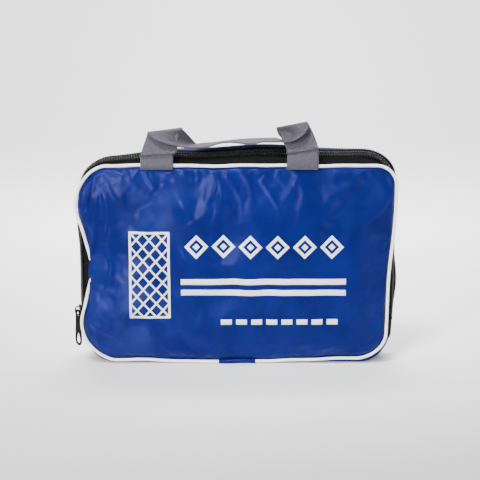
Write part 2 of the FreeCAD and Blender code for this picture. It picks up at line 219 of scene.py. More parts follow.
def lengths_along(points):
    """How far along a polyline each of its points is."""
    steps = np.linalg.norm(np.diff(points, axis=0), axis=1)
    return np.concatenate([[0], np.cumsum(steps)])


def resample(points, count):
    """Points evenly spaced along a polyline."""
    points = np.asarray(points, float)
    along = lengths_along(points)
    wanted = np.linspace(0, along[-1], count)
    return np.stack([np.interp(wanted, along, axis) for axis in points.T], axis=1)


def curve_by_station(points, counts):
    """A smooth curve (Catmull-Rom) through points, with so many samples from each to the next."""
    points = np.asarray(points, float)
    ends = np.vstack([2 * points[0] - points[1], points, 2 * points[-1] - points[-2]])
    fine = []
    for index, count in enumerate(counts):
        before, start, end, after = ends[index:index + 4]
        for share in np.linspace(0, 1, count, endpoint=False):
            fine.append(0.5 * (2 * start + (end - before) * share
                               + (2 * before - 5 * start + 4 * end - after) * share ** 2
                               + (3 * start - before - 3 * end + after) * share ** 3))
    return np.array(fine + [points[-1]])


def curve_through(points, count):
    """The same curve through given points, evenly sampled."""
    return resample(curve_by_station(points, [16] * (len(points) - 1)), count)


def closed_curve(points, count):
    """An evenly sampled smooth outline through (a, b) points."""
    return [tuple(point) for point in curve_through(points + points[:1], count)[:-1]]


def dress(piece, look, *nodes, body="case"):
    """Give a piece its look, the CAD nodes that it stands for and the body that it rides on.

    A piece on the body "fold" only has its place baked into its mesh and rides on no body.
    """
    material, slot = look
    piece.data.materials.clear()
    piece.data.materials.append(material)
    if nodes:
        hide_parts(*nodes)
    if body == "fold":
        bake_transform(piece)
    elif body:
        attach(piece, body)
    return piece


# ---- the seam outlines

SIDE_COUNT, CORNER_COUNT, LEVEL_COUNT = 64, 20, 104

# Bows of the front seam, and swells of the wall behind the zip: (height, middle, reach).
LEFT_BOWS = (6.2, 152, 18), (-7.5, 93, 25), (3.6, 40, 14), (-1.5, 10, 9)
LEFT_SWELLS = (4.4, 132, 22), (1.2, 96, 20), (2.8, 62, 18)
RIGHT_SWELLS = (3.0, 78, 42), (2.5, 76, 23), (2.4, 168, 24), (9.0, 190, 16)
SWELL_DEPTH, SWELL_REACH, BOWS_GONE = 2, 7.5, 4.6
# The lower corners are lifted, the right one more, over this height and its reach.
LEFT_RISE, RIGHT_RISE, RISE_HEIGHT, RISE_REACH = 1.7, 3.0, 4, 16


def rounded_outline(radii):
    """Points (x, z) round the case from the middle of the base, going left and up.

    radii are those of the bottom left, top left, top right and bottom right corners. The
    same index is the same place on every outline.
    """
    corners = (-1, 1, -90), (-1, -1, 180), (1, -1, 90), (1, 1, 0)
    arcs = []
    for (side, up, start), radius in zip(corners, radii):
        centre = np.array([side * (HALF_WIDTH - radius),
                           (SEAM_LOW if up > 0 else SEAM_HIGH) + up * radius])
        angles = np.radians(start - np.linspace(0, 90, CORNER_COUNT))
        arcs.append(centre + radius * np.stack([np.cos(angles), np.sin(angles)], axis=1))

    def run(start, end, count):
        steps = np.linspace(0, 1, count + 2)[1:-1, None]
        return start + (end - start) * steps

    middle = np.array([0.0, SEAM_LOW])
    stops = [arc[0] for arc in arcs[1:]] + [middle]
    counts = (SIDE_COUNT, LEVEL_COUNT, SIDE_COUNT, LEVEL_COUNT // 2)
    parts = [middle[None], run(middle, arcs[0][0], LEVEL_COUNT // 2)]
    for arc, stop, count in zip(arcs, stops, counts):
        parts += [arc, run(arc[-1], stop, count)]
    return np.concatenate(parts)


def front_outline():
    """The front seam: bowed and pinched where the soft case gives."""
    outline = rounded_outline(FRONT_CORNERS)
    x, z = outline.T.copy()
    left, right = (smooth((side * x - HALF_WIDTH * 0.55) / (HALF_WIDTH * 0.4))
                   for side in (-1, 1))
    out_right = -2.2 + 6.0 * smooth((z - 15) / 150) - 1.6 * bell(z, 88, 34)
    x += right * out_right - left * bows(z, LEFT_BOWS)
    rise = np.where(x < 0, LEFT_RISE, RIGHT_RISE) * smooth((np.abs(x + 8) - 30) / 75)
    z += np.where(z < 40, rise * bell(z, RISE_HEIGHT, RISE_REACH), 0)
    level = np.abs(x) < HALF_WIDTH * 0.85
    z += np.where(level, 0.35 * np.sin(x / 17.0) + 0.25 * np.sin(x / 7.3 + 1.0), 0)
    return np.stack([x, z], axis=1)


def outward(outline):
    """Unit normals of a closed outline, pointing out of the case."""
    along = np.roll(outline, -1, 0) - np.roll(outline, 1, 0)
    along /= np.linalg.norm(along, axis=1)[:, None]
    return np.stack([-along[:, 1], along[:, 0]], axis=1)


FRONT_SEAM, BACK_SEAM = front_outline(), rounded_outline(BACK_CORNERS)
COUNT = len(FRONT_SEAM)
ZIP_START = int(np.argmax(BACK_SEAM[:COUNT // 2, 1] > ZIP_END))
ZIP_STOP = COUNT - ZIP_START


def arc_bulge(depth, sagitta):
    """How far an arc of this sagitta stands off its chord at a depth."""
    radius = (SEAM_DEPTH ** 2 + sagitta ** 2) / (2 * sagitta)
    return np.sqrt(radius ** 2 - depth ** 2) - (radius - sagitta)


def wall_at(depth, grow=0.0):
    """The wall's outline at a depth: points (x, y, z).

    The front seam's bows have faded out by the zip, where the wall keeps the line that the
    slider runs on. Behind the zip the full case swells a little further.
    """
    share = float(smooth((depth + SEAM_DEPTH) / BOWS_GONE))
    outline = FRONT_SEAM * (1 - share) + BACK_SEAM * share
    normal = outward(BACK_SEAM)
    up, side = np.clip(normal[:, 1], 0, 1), np.abs(normal[:, 0])
    down = np.clip(-normal[:, 1], 0, 1)
    x, z = BACK_SEAM.T
    # the top sinks towards its left end and stands proud in the middle, behind the zip
    top = arc_bulge(depth, TOP_BULGE) + math.sqrt(max(0.0, 1 - (depth / SEAM_DEPTH) ** 2)) * (
        3.0 * bell(x, 38, 62) - 1.2 - 4.6 * smooth((-x - 55) / 75) + 0.9 * bell(x, 134, 22)
        + 0.5 * np.sin(x / 15.0) + 3.9 * bell(depth, 5.5, 5.5) * bell(x, 12, 95))
    swell = math.exp(-((depth - SWELL_DEPTH) / SWELL_REACH) ** 2)
    flank = arc_bulge(depth, SIDE_BULGE) + swell * np.where(
        x < 0, bows(z, LEFT_SWELLS), bows(z, RIGHT_SWELLS))
    base = SEAM_LOW * min(1.0, 7.0 * (1 - abs(depth) / SEAM_DEPTH))
    reach = top * up ** 2 + flank * side ** 2 + base * down ** 2 + grow
    points = outline + normal * reach[:, None]
    points[:, 1] = np.maximum(points[:, 1], 0.05 - grow * (down > 0.5))
    return np.insert(points, 1, depth, axis=1)


# ---- materials

def plug(tree, made, inputs):
    """Set a node's inputs; each is a value or another node's socket."""
    for key, value in inputs.items():
        if isinstance(value, bpy.types.NodeSocket):
            tree.links.new(value, made.inputs[key])
        else:
            made.inputs[key].default_value = value


def node(tree, kind, inputs, **settings):
    made = tree.nodes.new("ShaderNode" + kind)
    for key, value in settings.items():
        setattr(made, key, value)
    plug(tree, made, inputs)
    return made


def look(name, shader_inputs, slot=None):
    """A material and its slot in the record; shader_inputs makes the shader's inputs."""
    material = bpy.data.materials.new(name)
    material.use_nodes = True
    tree = material.node_tree
    plug(tree, tree.nodes["Principled BSDF"], shader_inputs(tree))
    return material, slot or name


def maths(tree, operation, *values, kind="Math", output=0):
    """What a maths node, or a VectorMath node, makes of some values."""
    return node(tree, kind, dict(enumerate(values)), operation=operation).outputs[output]


def vector_maths(tree, operation, *values, output=0):
    return maths(tree, operation, *values, kind="VectorMath", output=output)


def map_range(tree, value, low, high, start=0.0, end=1.0, kind="LINEAR"):
    """From low to high as the value goes from start to end."""
    return node(tree, "MapRange", {"Value": value, "From Min": start, "From Max": end,
                                   "To Min": low, "To Max": high},
                interpolation_type=kind).outputs["Result"]


def two_tone(tree, factor, low, high, start=0.3, end=0.7):
    """From one colour to another as the factor goes from start to end."""
    made = node(tree, "ValToRGB", {"Fac": factor})
    for element, place, colour in zip(made.color_ramp.elements, (start, end), (low, high)):
        element.position = place
        element.color = (*colour, 1)
    return made.outputs["Color"]


def coordinates(tree, scale=(1, 1, 1)):
    """Object coordinates in millimetres, times a scale per axis."""
    source = node(tree, "TexCoord", {}).outputs["Object"]
    return vector_maths(tree, "MULTIPLY", source, tuple(part / MM for part in scale))


def noise_field(tree, scale, detail=3.0, stretch=(1, 1, 1)):
    """Smooth noise whose features are about 1 / scale millimetres across."""
    return node(tree, "TexNoise", {"Vector": coordinates(tree, stretch), "Scale": scale,
                                   "Detail": detail}).outputs["Fac"]


def wave(tree, value, rate):
    return maths(tree, "SINE", maths(tree, "MULTIPLY", value, rate))


def weave(tree, pitch):
    """Over-and-under threads at a pitch in millimetres: a height from 0 to 1."""
    split = node(tree, "SeparateXYZ", {0: coordinates(tree)}).outputs
    threads = [wave(tree, split[axis], TURN / pitch) for axis in (0, 2)]
    return maths(tree, "MULTIPLY_ADD", maths(tree, "MULTIPLY", *threads), 0.5, 0.5)


def bump(tree, height, strength, distance, **under):
    """A normal from a height; distance is in millimetres, and Normal a bump under this one."""
    return node(tree, "Bump", {"Height": height, "Strength": strength,
                               "Distance": distance * MM, **under}).outputs["Normal"]


def sheen_spot(tree, centre, core, reach):
    """Where the painted sheen goes: 1 within core millimetres of a place on the case, fading to 0
    at reach.
    """
    gap = vector_maths(tree, "DISTANCE", coordinates(tree), centre, output="Value")
    return map_range(tree, gap, 0, 1, reach, core, "SMOOTHSTEP")


def coated_nylon(tree):
    """Royal-blue nylon with a glossy polyurethane coat: a fine weave under a soft shine.

    Milky patches of painted sheen on the front's left are added to its colour.
    """
    cloud = two_tone(tree, noise_field(tree, 0.035, 4), (0.00105, 0.0034, 0.063),
                     (0.0020, 0.0066, 0.098))
    grain = map_range(tree, noise_field(tree, 1.1, 2), 0.84, 1.16, 0.3, 0.7)
    # painted sheen: milky patches where the glossy coat catches the light, painted into the base
    # colour on the front's left and mottled by noise
    near = maths(tree, "MAXIMUM", sheen_spot(tree, (-96, -20, 55), 18, 62),
                 sheen_spot(tree, (-76, -20, 148), 8, 48))
    sheen_mottle = map_range(tree, noise_field(tree, 0.045, 5, (1.0, 1.0, 0.7)), 0, 1, 0.34, 0.66,
                      "SMOOTHSTEP")
    painted_sheen = maths(tree, "MULTIPLY", near, sheen_mottle)
    threads = bump(tree, weave(tree, 0.62), 0.25, 0.05)
    return {"Base Color": vector_maths(tree, "MULTIPLY_ADD", painted_sheen, (0.012, 0.016, 0.046),
                                       vector_maths(tree, "MULTIPLY", cloud, grain)),
            "Roughness": map_range(tree, noise_field(tree, 0.12, 3), 0.33, 0.45),
            "Specular IOR Level": 0.19, "Specular Tint": (0.42, 0.46, 1.0, 1),
            "Sheen Weight": 0.03, "Sheen Roughness": 0.4, "Sheen Tint": (0.35, 0.5, 1.0, 1),
            "Normal": bump(tree, noise_field(tree, 0.16, 4, (1.0, 1.0, 0.5)), 0.30, 0.6,
                           Normal=threads)}


def vinyl_piping(tree):
    """White vinyl over cord: puckered along its length, a little grimy."""
    return {"Base Color": two_tone(tree, noise_field(tree, 0.08, 5), (0.86, 0.845, 0.825),
                                   (0.93, 0.92, 0.905), 0.35, 0.6),
            "Roughness": 0.42, "Coat Weight": 0.1,
            "Normal": bump(tree, noise_field(tree, 0.9, 2, (1.0, 0.4, 1.0)), 0.35, 0.3)}


def zip_tape(tree):
    """Black polyester tape: a tight weave, very little shine."""
    return {"Base Color": two_tone(tree, noise_field(tree, 0.8, 6), (0.0025, 0.0025, 0.0029),
                                   (0.0105, 0.010, 0.0105), 0.35, 0.75),
            "Roughness": 0.78, "Specular IOR Level": 0.04,
            "Normal": bump(tree, weave(tree, 0.9), 0.6, 0.12)}


def black_polymer(roughness, shine, low, high):
    """Moulded nylon or lacquered metal: black, with faint uneven wear."""
    def shader_inputs(tree):
        wear = noise_field(tree, 0.6, 6)
        return {"Base Color": two_tone(tree, wear, low, high, 0.45, 0.8),
                "Roughness": map_range(tree, wear, roughness - 0.06, roughness + 0.12),
                "Specular IOR Level": shine,
                "Normal": bump(tree, noise_field(tree, 2.5, 3), 0.15, 0.05)}
    return shader_inputs


def webbing(tree):
    """Grey polypropylene webbing: 17 ribs across the strap and picks 1.7 mm apart along it."""
    strands = two_tone(tree, noise_field(tree, 1.4, 4, (1, 1, 0.5)), (0.042, 0.038, 0.053),
                       (0.080, 0.075, 0.096))
    uv = node(tree, "UVMap", {}, uv_map="strap").outputs["UV"]
    across, along = node(tree, "SeparateXYZ", {0: uv}).outputs[:2]
    height = maths(tree, "MULTIPLY_ADD", wave(tree, along, TURN / 1.7), 0.35,
                   wave(tree, across, TURN * 17))
    # painted shade: the colour is darker down in the grooves between ribs and picks, and lighter
    # on their tops
    shade = maths(tree, "MULTIPLY_ADD", height, 0.12, 0.95)
    return {"Base Color": vector_maths(tree, "MULTIPLY", strands, shade), "Roughness": 0.72,
            "Specular IOR Level": 0.25, "Sheen Weight": 0.08, "Sheen Roughness": 0.45,
            "Normal": bump(tree, height, 0.7, 0.16)}


def printed_ink(tree):
    """White screen-print ink, a little uneven."""
    speckle = noise_field(tree, 1.2, 6)
    return {"Base Color": two_tone(tree, speckle, (0.62, 0.63, 0.68), (0.78, 0.78, 0.80), 0.3,
                                   0.6),
            "Roughness": 0.5, "Normal": bump(tree, speckle, 0.3, 0.06)}


def cotton_tape(tree):
    return {"Base Color": two_tone(tree, noise_field(tree, 0.15, 5), (0.50, 0.49, 0.46),
                                   (0.66, 0.65, 0.62)),
            "Roughness": 0.85, "Normal": bump(tree, weave(tree, 1.0), 0.6, 0.15)}


def net_twine(tree):
    return {"Base Color": two_tone(tree, noise_field(tree, 1.1, 5), (0.036, 0.020, 0.012),
                                   (0.10, 0.054, 0.033)),
            "Roughness": 0.8, "Specular IOR Level": 0.2, "Sheen Weight": 0.03,
            "Normal": bump(tree, noise_field(tree, 2.6, 3), 0.7, 0.3)}


NYLON, PIPING = look("coated_nylon", coated_nylon), look("white_piping", vinyl_piping)
TAPE, WEBBING = look("black_tape", zip_tape), look("grey_webbing", webbing)
COIL = look("zip_coil", black_polymer(0.28, 0.60, (0.006, 0.006, 0.0065), (0.015, 0.015, 0.016)))
METAL = look("zip_metal", black_polymer(0.58, 0.05, (0.005, 0.005, 0.006), (0.016, 0.016, 0.018)))
INK = look("print_ink", printed_ink, "white_piping")
COTTON, TWINE = look("white_tape", cotton_tape), look("net_twine", net_twine)


# ---- the panels

PANEL_COLUMNS, PANEL_ROWS, PANEL_FLAT = 129, 83, (0.30, 0.205)
RELAXING_STEPS = 60
# A filled panel rises by a share of its crown close to its seam, and by the rest further in.
EDGE_SHARE, EDGE_WIDTH, CROWN_REACH, CROWN_POWER = 0.38, 4.0, 78.0, 0.85
FOLD_SAMPLES, STEEP_SHARE, GENTLE_SHARE, FOLD_TAPER, FOLD_POWER = 48, 1.1, 1.35, 0.6, 1.6
CLOTH_FRAMES, CLOTH_CAP = 16, 3.0
CLOTH = {"quality": 6, "mass": 0.15, "tension_stiffness": 25, "compression_stiffness": 25,
         "shear_stiffness": 12, "bending_stiffness": 0.25, "vertex_group_mass": "seam",
         "use_pressure": True, "uniform_pressure_force": 0.8, "shrink_min": -0.012}


def panel_grid(seam):
    """A grid of (x, z) filling a seam outline, row by row, from its four sides."""
    bottom_left = 1 + LEVEL_COUNT // 2 + CORNER_COUNT // 2
    top_left = bottom_left + SIDE_COUNT + CORNER_COUNT
    top_right = top_left + LEVEL_COUNT + CORNER_COUNT
    bottom_right = top_right + SIDE_COUNT + CORNER_COUNT
    around = np.vstack([seam, seam])
    left = resample(around[bottom_left:top_left + 1], PANEL_ROWS)
    top = resample(around[top_left:top_right + 1], PANEL_COLUMNS)
    right = resample(around[top_right:bottom_right + 1][::-1], PANEL_ROWS)
    bottom = resample(around[bottom_right:bottom_left + COUNT + 1][::-1], PANEL_COLUMNS)
    across = np.linspace(0, 1, PANEL_COLUMNS)[None, :, None]
    up = np.linspace(0, 1, PANEL_ROWS)[:, None, None]
    grid = ((1 - up) * bottom[None] + up * top[None]
            + (1 - across) * left[:, None] + across * right[:, None]
            - (1 - across) * (1 - up) * bottom[0] - across * (1 - up) * bottom[-1]
            - (1 - across) * up * top[0] - across * up * top[-1])
    for _ in range(RELAXING_STEPS):
        grid[1:-1, 1:-1] = (grid[:-2, 1:-1] + grid[2:, 1:-1]
                            + grid[1:-1, :-2] + grid[1:-1, 2:]) / 4
    return grid


def seam_distance(places, seam):
    """How far each (x, z) is from the seam."""
    closest = np.full(len(places), np.inf)
    for start, end in zip(seam, np.roll(seam, -1, 0)):
        along = end - start
        share = np.clip(((places - start) @ along) / max(along @ along, 1e-9), 0, 1)
        gap = places - (start + share[:, None] * along)
        closest = np.minimum(closest, np.hypot(gap[:, 0], gap[:, 1]))
    return closest


def pillow(distance, crown):
    """The crown of a filled panel: steep at its seam, level in the middle."""
    reach = np.clip(distance / CROWN_REACH, 0, 1)
    return crown * (EDGE_SHARE * (1 - np.exp(-distance / EDGE_WIDTH))
                    + (1 - EDGE_SHARE) * np.sin(reach * math.pi / 2) ** CROWN_POWER)


def fold_height(places, height, steep, gentle, *path):
    """A fold along a path of x and z: steep on the path's right, easing off on its left."""
    line = curve_through(np.reshape(path, (-1, 2)), FOLD_SAMPLES)
    heading = np.gradient(line, axis=0)
    offset = places[:, None, :] - line[None, :, :]
    gaps = np.hypot(offset[:, :, 0], offset[:, :, 1])
    nearest = gaps.argmin(axis=1)
    rows = np.arange(len(places))
    away = offset[rows, nearest]
    leftward = heading[nearest, 0] * away[:, 1] - heading[nearest, 1] * away[:, 0] > 0
    share = np.clip(nearest / (len(line) - 1), 0.02, 0.98)
    width = np.where(leftward, GENTLE_SHARE * gentle, STEEP_SHARE * steep)
    return (height * np.sin(share * math.pi) ** FOLD_TAPER
            * np.exp(-(gaps[rows, nearest] / width) ** FOLD_POWER))


# Folds as (height, steep width, gentle width, then x, z, x, z... down the panel).
FRONT_FOLDS = [
    # the pocket and the long looped fold down the left edge
    (1.5, 1.2, 2.2, -130, 185, -133, 166, -137, 148, -141, 148, -143, 160, -139, 178),
    (2.4, 1.4, 2.4, -129, 57, -133, 66, -134, 80, -134, 99, -131, 122, -130, 145, -127, 170),
    (2.4, 1.6, 3.2, -127, 171, -121, 158, -118, 137, -119, 115, -118, 94, -121, 77, -129, 58),
    # the long diagonal from the upper left corner
    (1.8, 2.4, 9.0, -124, 186, -117, 176, -107, 159, -97, 145, -83, 131, -70, 120),
    (1.1, 2.4, 7.0, -100, 178, -88, 168, -76, 156, -62, 140),
    # gathers under the handle's left foot
    (1.1, 1.0, 1.8, -104, 187, -100, 181, -97, 177, -92, 182, -89, 188),
    (0.9, 1.1, 2.2, -110, 187, -107, 181, -104, 178),
    (1.5, 1.3, 3.2, -87, 187, -82, 178, -77, 170, -72, 163),
    (1.0, 1.0, 2.2, -79, 187, -78, 180, -74, 172), (-1.3, 1.2, 2.0, -71, 180, -72, 170, -78, 163),
    (1.4, 1.6, 4.5, -60, 184, -57, 174, -51, 158, -47, 148),
    (1.3, 1.0, 2.4, -52, 187, -47, 178, -43, 170), (1.1, 0.9, 2.0, -38, 187, -36, 180, -37, 174),
    (1.0, 0.9, 2.0, -32, 188, -30, 182, -28, 178),
    # the sharp pair left of the middle and the broad band that runs down from it
    (1.9, 1.5, 3.6, -21, 188, -17, 176, -15, 166, -17, 153, -22, 136, -23, 122),
    (1.4, 0.9, 1.8, -24, 186, -21, 177, -20, 170, -24, 164),
    (1.2, 3.0, 7.0, -16, 158, -26, 147, -38, 139, -50, 126),
    (0.9, 1.0, 2.2, -9, 188, -10, 182, -8, 177), (1.2, 0.9, 2.2, -1, 188, 3, 184, 6, 180),
    # the crooked fold right of the middle
    (1.5, 1.1, 2.8, 14, 188, 20, 184, 25, 180, 22, 175, 26, 169, 32, 160, 37, 151, 42, 141),
    (0.8, 1.6, 4.0, 35, 186, 38, 178, 45, 169),
    (1.2, 0.9, 2.0, 45, 187, 51, 184, 55, 179, 52, 175),
    (0.8, 1.4, 4.0, 50, 174, 60, 168, 70, 162), (0.7, 1.8, 4.0, 84, 187, 92, 182, 104, 177),
    (0.8, 2.0, 5.0, 116, 186, 121, 178, 124, 168),
    # the lower left, where the case sits down on itself
    (2.2, 2.6, 6.0, -141, 46, -134, 39, -123, 33, -115, 29, -106, 22),
    (1.0, 1.4, 3.0, -107, 24, -103, 17, -100, 9), (1.0, 1.2, 2.4, -134, 30, -131, 20, -127, 11),
    (0.9, 3.0, 6.0, -124, 52, -112, 44, -98, 40), (0.8, 3.4, 7.0, -92, 64, -84, 46, -80, 28),
    (0.8, 1.2, 2.6, -58, 16, -52, 12, -46, 9), (0.9, 1.1, 2.2, -27, 18, -28, 12, -30, 7),
    (0.8, 1.2, 2.6, -18, 25, -22, 18, -26, 13), (0.4, 1.0, 2.6, 9, 40, 12, 30, 14, 18),
    # the right edge
    (0.9, 3.0, 8.0, 139, 112, 131, 90, 123, 70, 119, 56),
    (1.0, 2.0, 4.5, 112, 28, 119, 20, 126, 9), (0.6, 2.6, 6.0, 137, 150, 131, 140, 129, 126),
]
BACK_FOLDS = [
    (1.3, 1.8, 6.0, -98, 187, -92, 170, -76, 150), (1.2, 1.2, 3.2, -30, 188, -26, 174, -32, 158),
    (1.0, 1.0, 2.4, -12, 188, -9, 180, -11, 172), (1.3, 1.2, 3.4, 34, 188, 30, 176, 36, 160),
    (1.0, 1.2, 3.0, 62, 188, 66, 178, 64, 168), (1.4, 2.0, 7.0, 106, 186, 98, 168, 84, 144),
    (1.3, 2.0, 5.5, -138, 142, -126, 124, -122, 98), (1.3, 2.0, 5.5, 138, 134, 127, 114, 125, 84),
    (1.3, 2.2, 6.0, -122, 10, -106, 26, -82, 42), (1.3, 2.2, 6.0, 120, 10, 104, 26, 78, 44),
    (0.9, 1.4, 3.4, -20, 6, -16, 18, -22, 32), (0.9, 1.4, 3.4, 28, 6, 31, 20, 25, 34),
]


def swells(places, facing):
    """Slow unevenness of a stuffed panel, livelier on the left where the case is pinched."""
    def slow(*place):
        return noise.noise(Vector(place))

    values = []
    for x, z in places:
        lively = 1.0 - 0.72 * float(smooth((x + 45) / 90))
        slant, lean = x * 0.8 + z * 0.6, z - x
        values.append(1.3 * slow(x * 0.022, z * 0.02 + 3 * facing, 1.7 * facing)
                      + lively * slow(slant * 0.045, lean * 0.022, 4 * facing)
                      + lively * 0.55 * (0.3 - abs(slow(slant * 0.07, lean * 0.03,
                                                        9.0 * facing))))
    return np.array(values)


def overhang(places, distance):
    """How far the front's left edge bulges out over its piping, where the case is pinched."""
    left = smooth((-places[:, 0] - 95) / 25)
    return 8.6 * left * bell(places[:, 1], 91, 19) * bell(distance, 4.5, 4.5)


def settle_cloth(piece, distance):
    """Let the panel settle as pressed cloth, held at its seam, moving at most the cap."""
    start = mesh_points(piece.data)
    pin = piece.vertex_groups.new(name="seam")
    pin.add(np.nonzero(distance < 1.0)[0].tolist(), 1.0, "REPLACE")
    cloth = piece.modifiers.new("cloth", "CLOTH")
    for key, value in CLOTH.items():
        setattr(cloth.settings, key, value)
    cloth.settings.effector_weights.gravity = 0.0
    cloth.collision_settings.use_collision = False
    scene = bpy.context.scene
    for number in range(1, CLOTH_FRAMES + 1):
        scene.frame_set(number)
    graph = bpy.context.evaluated_depsgraph_get()
    moved = mesh_points(piece.evaluated_get(graph).data)
    piece.modifiers.clear()
    piece.vertex_groups.clear()
    scene.frame_set(1)
    shift = moved - start
    length = np.linalg.norm(shift, axis=1)[:, None]
    shift *= np.minimum(1.0, CLOTH_CAP * MM / np.maximum(length, 1e-9))
    shift *= smooth(distance / 2.0)[:, None]
    move_points(piece, start + shift)


def make_panel(name, seam, facing, crown, folds, nodes, body):
    """A crowned panel: its filled shape, settled as cloth, then its sharp folds."""
    grid = panel_grid(seam).reshape(-1, 2)
    distance = seam_distance(grid, seam)
    lift = pillow(distance, crown) + 1.6 * swells(grid, facing) * smooth(distance / 14)
    points = np.stack([grid[:, 0], facing * (SEAM_DEPTH + lift), grid[:, 1]], axis=1)
    faces = [face[::-facing] for face in grid_faces(PANEL_ROWS, PANEL_COLUMNS)]
    piece = make_mesh(name, points, faces)
    settle_cloth(piece, distance)
    piece.modifiers.new("finer", "SUBSURF").levels = 1
    apply_modifiers(piece)
    points = mesh_points(piece.data) / MM
    places = points[:, (0, 2)].copy()
    distance = seam_distance(places, seam)
    hold = smooth(distance / 2.6)
    for fold in folds:
        points[:, 1] += facing * hold * fold_height(places, *fold)
    if facing < 0:
        points[:, 0] -= overhang(places, distance)
    move_points(piece, points * MM)
    thicken(piece, CLOTH_THICKNESS, -1.0)
    dress(piece, NYLON, *nodes, body=body)
    return piece


FRONT_PANEL = make_panel("front_panel_cloth", FRONT_SEAM, -1, 10.5, FRONT_FOLDS,
                         ("front_panel", "front_panel_foot"), "fold")
make_panel("back_panel_cloth", BACK_SEAM, 1, 8.0, BACK_FOLDS, ("back_panel",), "case")


# ---- the wall

SIDE_ROWS, BASE_ROWS = 12, 26
BASE_LIP, BASE_LIP_REACH = 1.5, 0.9      # the base's edges reach out under the piping


def make_gussets():
    rows = [wall_at(depth)[ZIP_START - 1:ZIP_STOP + 2]
            for depth in np.linspace(TAPE_REAR, SEAM_DEPTH, SIDE_ROWS)]
    side = make_sheet("side_gusset_cloth", rows, CLOTH_THICKNESS, subdivide=1)
    dress(side, NYLON, "side_gusset")
    rows = []
    for share in np.linspace(-1, 1, BASE_ROWS):
        depth = SEAM_DEPTH * math.sin(share * math.pi / 2)
        outline = wall_at(depth, 0.25)
        lip = BASE_LIP * math.copysign(bell(abs(depth), SEAM_DEPTH, BASE_LIP_REACH), depth)
        outline[:, 1] += lip
        rows.append(np.vstack([outline[ZIP_STOP - 1:], outline[:ZIP_START + 2]]))
    base = make_sheet("bottom_gusset_cloth", rows, CLOTH_THICKNESS, subdivide=1)
    dress(base, NYLON, "bottom_gusset")


def make_tape(name, depths, grow, *nodes, body):
    rows = [wall_at(depth, grow)[ZIP_START:ZIP_STOP + 1] for depth in np.linspace(*depths, 7)]
    dress(make_sheet(name, rows, TAPE_THICKNESS, subdivide=1), TAPE, *nodes, body=body)


def wall_line(depth, grow, first, last, spacing):
    """A line along the wall at one depth, between two places on the outline."""
    line = wall_at(depth, grow)[first:last]
    length = np.linalg.norm(np.diff(line, axis=0), axis=1).sum()
    return resample(line, max(2, int(length / spacing)))


# A coil's pitch, its half width and height, its wire's radius, and its points to a turn.
COIL_PITCH, COIL_HALF, COIL_RISE, COIL_WIRE, COIL_POINTS = 2.3, 1.35, 1.0, 0.5, 9
STITCH_PITCH, WIDE_STITCH, STITCH_THREAD = 1.9, 2.6, 0.34
STITCH_FROM_COIL, CHAIN_START_HEIGHT = 3.3, 44


def make_coil(name, node, depth, first, last, phase, body):
    """The spiral monofilament of one side of the zip."""
    line, above = (wall_line(depth, grow, first, last, COIL_PITCH / COIL_POINTS)
                   for grow in (1.15, 2.15))
    lifted = resample(above, len(line)) - line
    lifted /= np.linalg.norm(lifted, axis=1)[:, None]
    turns = np.arange(len(line)) * TURN / COIL_POINTS + phase
    points = line + lifted * (COIL_RISE * np.sin(turns))[:, None]
    points[:, 1] += COIL_HALF * np.cos(turns)
    dress(make_mesh(name, *sweep(points, COIL_WIRE, 6)), COIL, node, body=body)


def stitch_row(depth, grow, pitch):
    """A row of machine stitches, each a short raised dash."""
    line = wall_line(depth, grow, ZIP_START, ZIP_STOP + 1, pitch / 4)
    radii = [STITCH_THREAD * share for share in (0.4, 1, 1, 0.4)]
    return join_parts([sweep(line[start:start + 4], radii, 5)
                       for start in range(0, len(line) - 3, 4)])


def make_stitches(name, grow, near_coil, near_edge, body):
    rows = join_parts([stitch_row(near_coil, grow, STITCH_PITCH),
                       stitch_row(near_edge, grow, WIDE_STITCH)])
    dress(make_mesh(name, *rows), TAPE, body=body)


def make_zip():
    make_tape("front_tape_weave", (-SEAM_DEPTH, COIL_FRONT + 0.5), 0.05, "front_zipper_tape",
              "front_tape_tails", body="fold")
    make_tape("rear_tape_weave", (COIL_REAR - 0.5, TAPE_REAR + 0.6), 0.3, "rear_zipper_tape",
              body="case")
    first = ZIP_START + int(np.argmax(wall_at(0)[ZIP_START:, 2] > CHAIN_START_HEIGHT))
    last = COUNT - first
    centre = (COIL_FRONT + COIL_REAR) / 2
    make_coil("front_coil", "front_zipper_coil", centre - COIL_HALF, first, last, 0.0, "fold")
    make_coil("rear_coil", "rear_zipper_coil", centre + COIL_HALF, first, last, math.pi, "case")
    make_stitches("front_tape_stitches", 0.35, centre - STITCH_FROM_COIL, -SEAM_DEPTH + 1.8,
                  "fold")
    make_stitches("rear_tape_stitches", 0.6, centre + STITCH_FROM_COIL, TAPE_REAR - 1.0, "case")


make_gussets()
make_zip()


# ---- the piping

def piping_line(seam, depth):
    points = seam + outward(seam) * PIPING_OUT
    points[:, 1] = np.maximum(points[:, 1], PIPING_RADIUS + 0.6)
    return np.insert(points, 1, depth, axis=1)


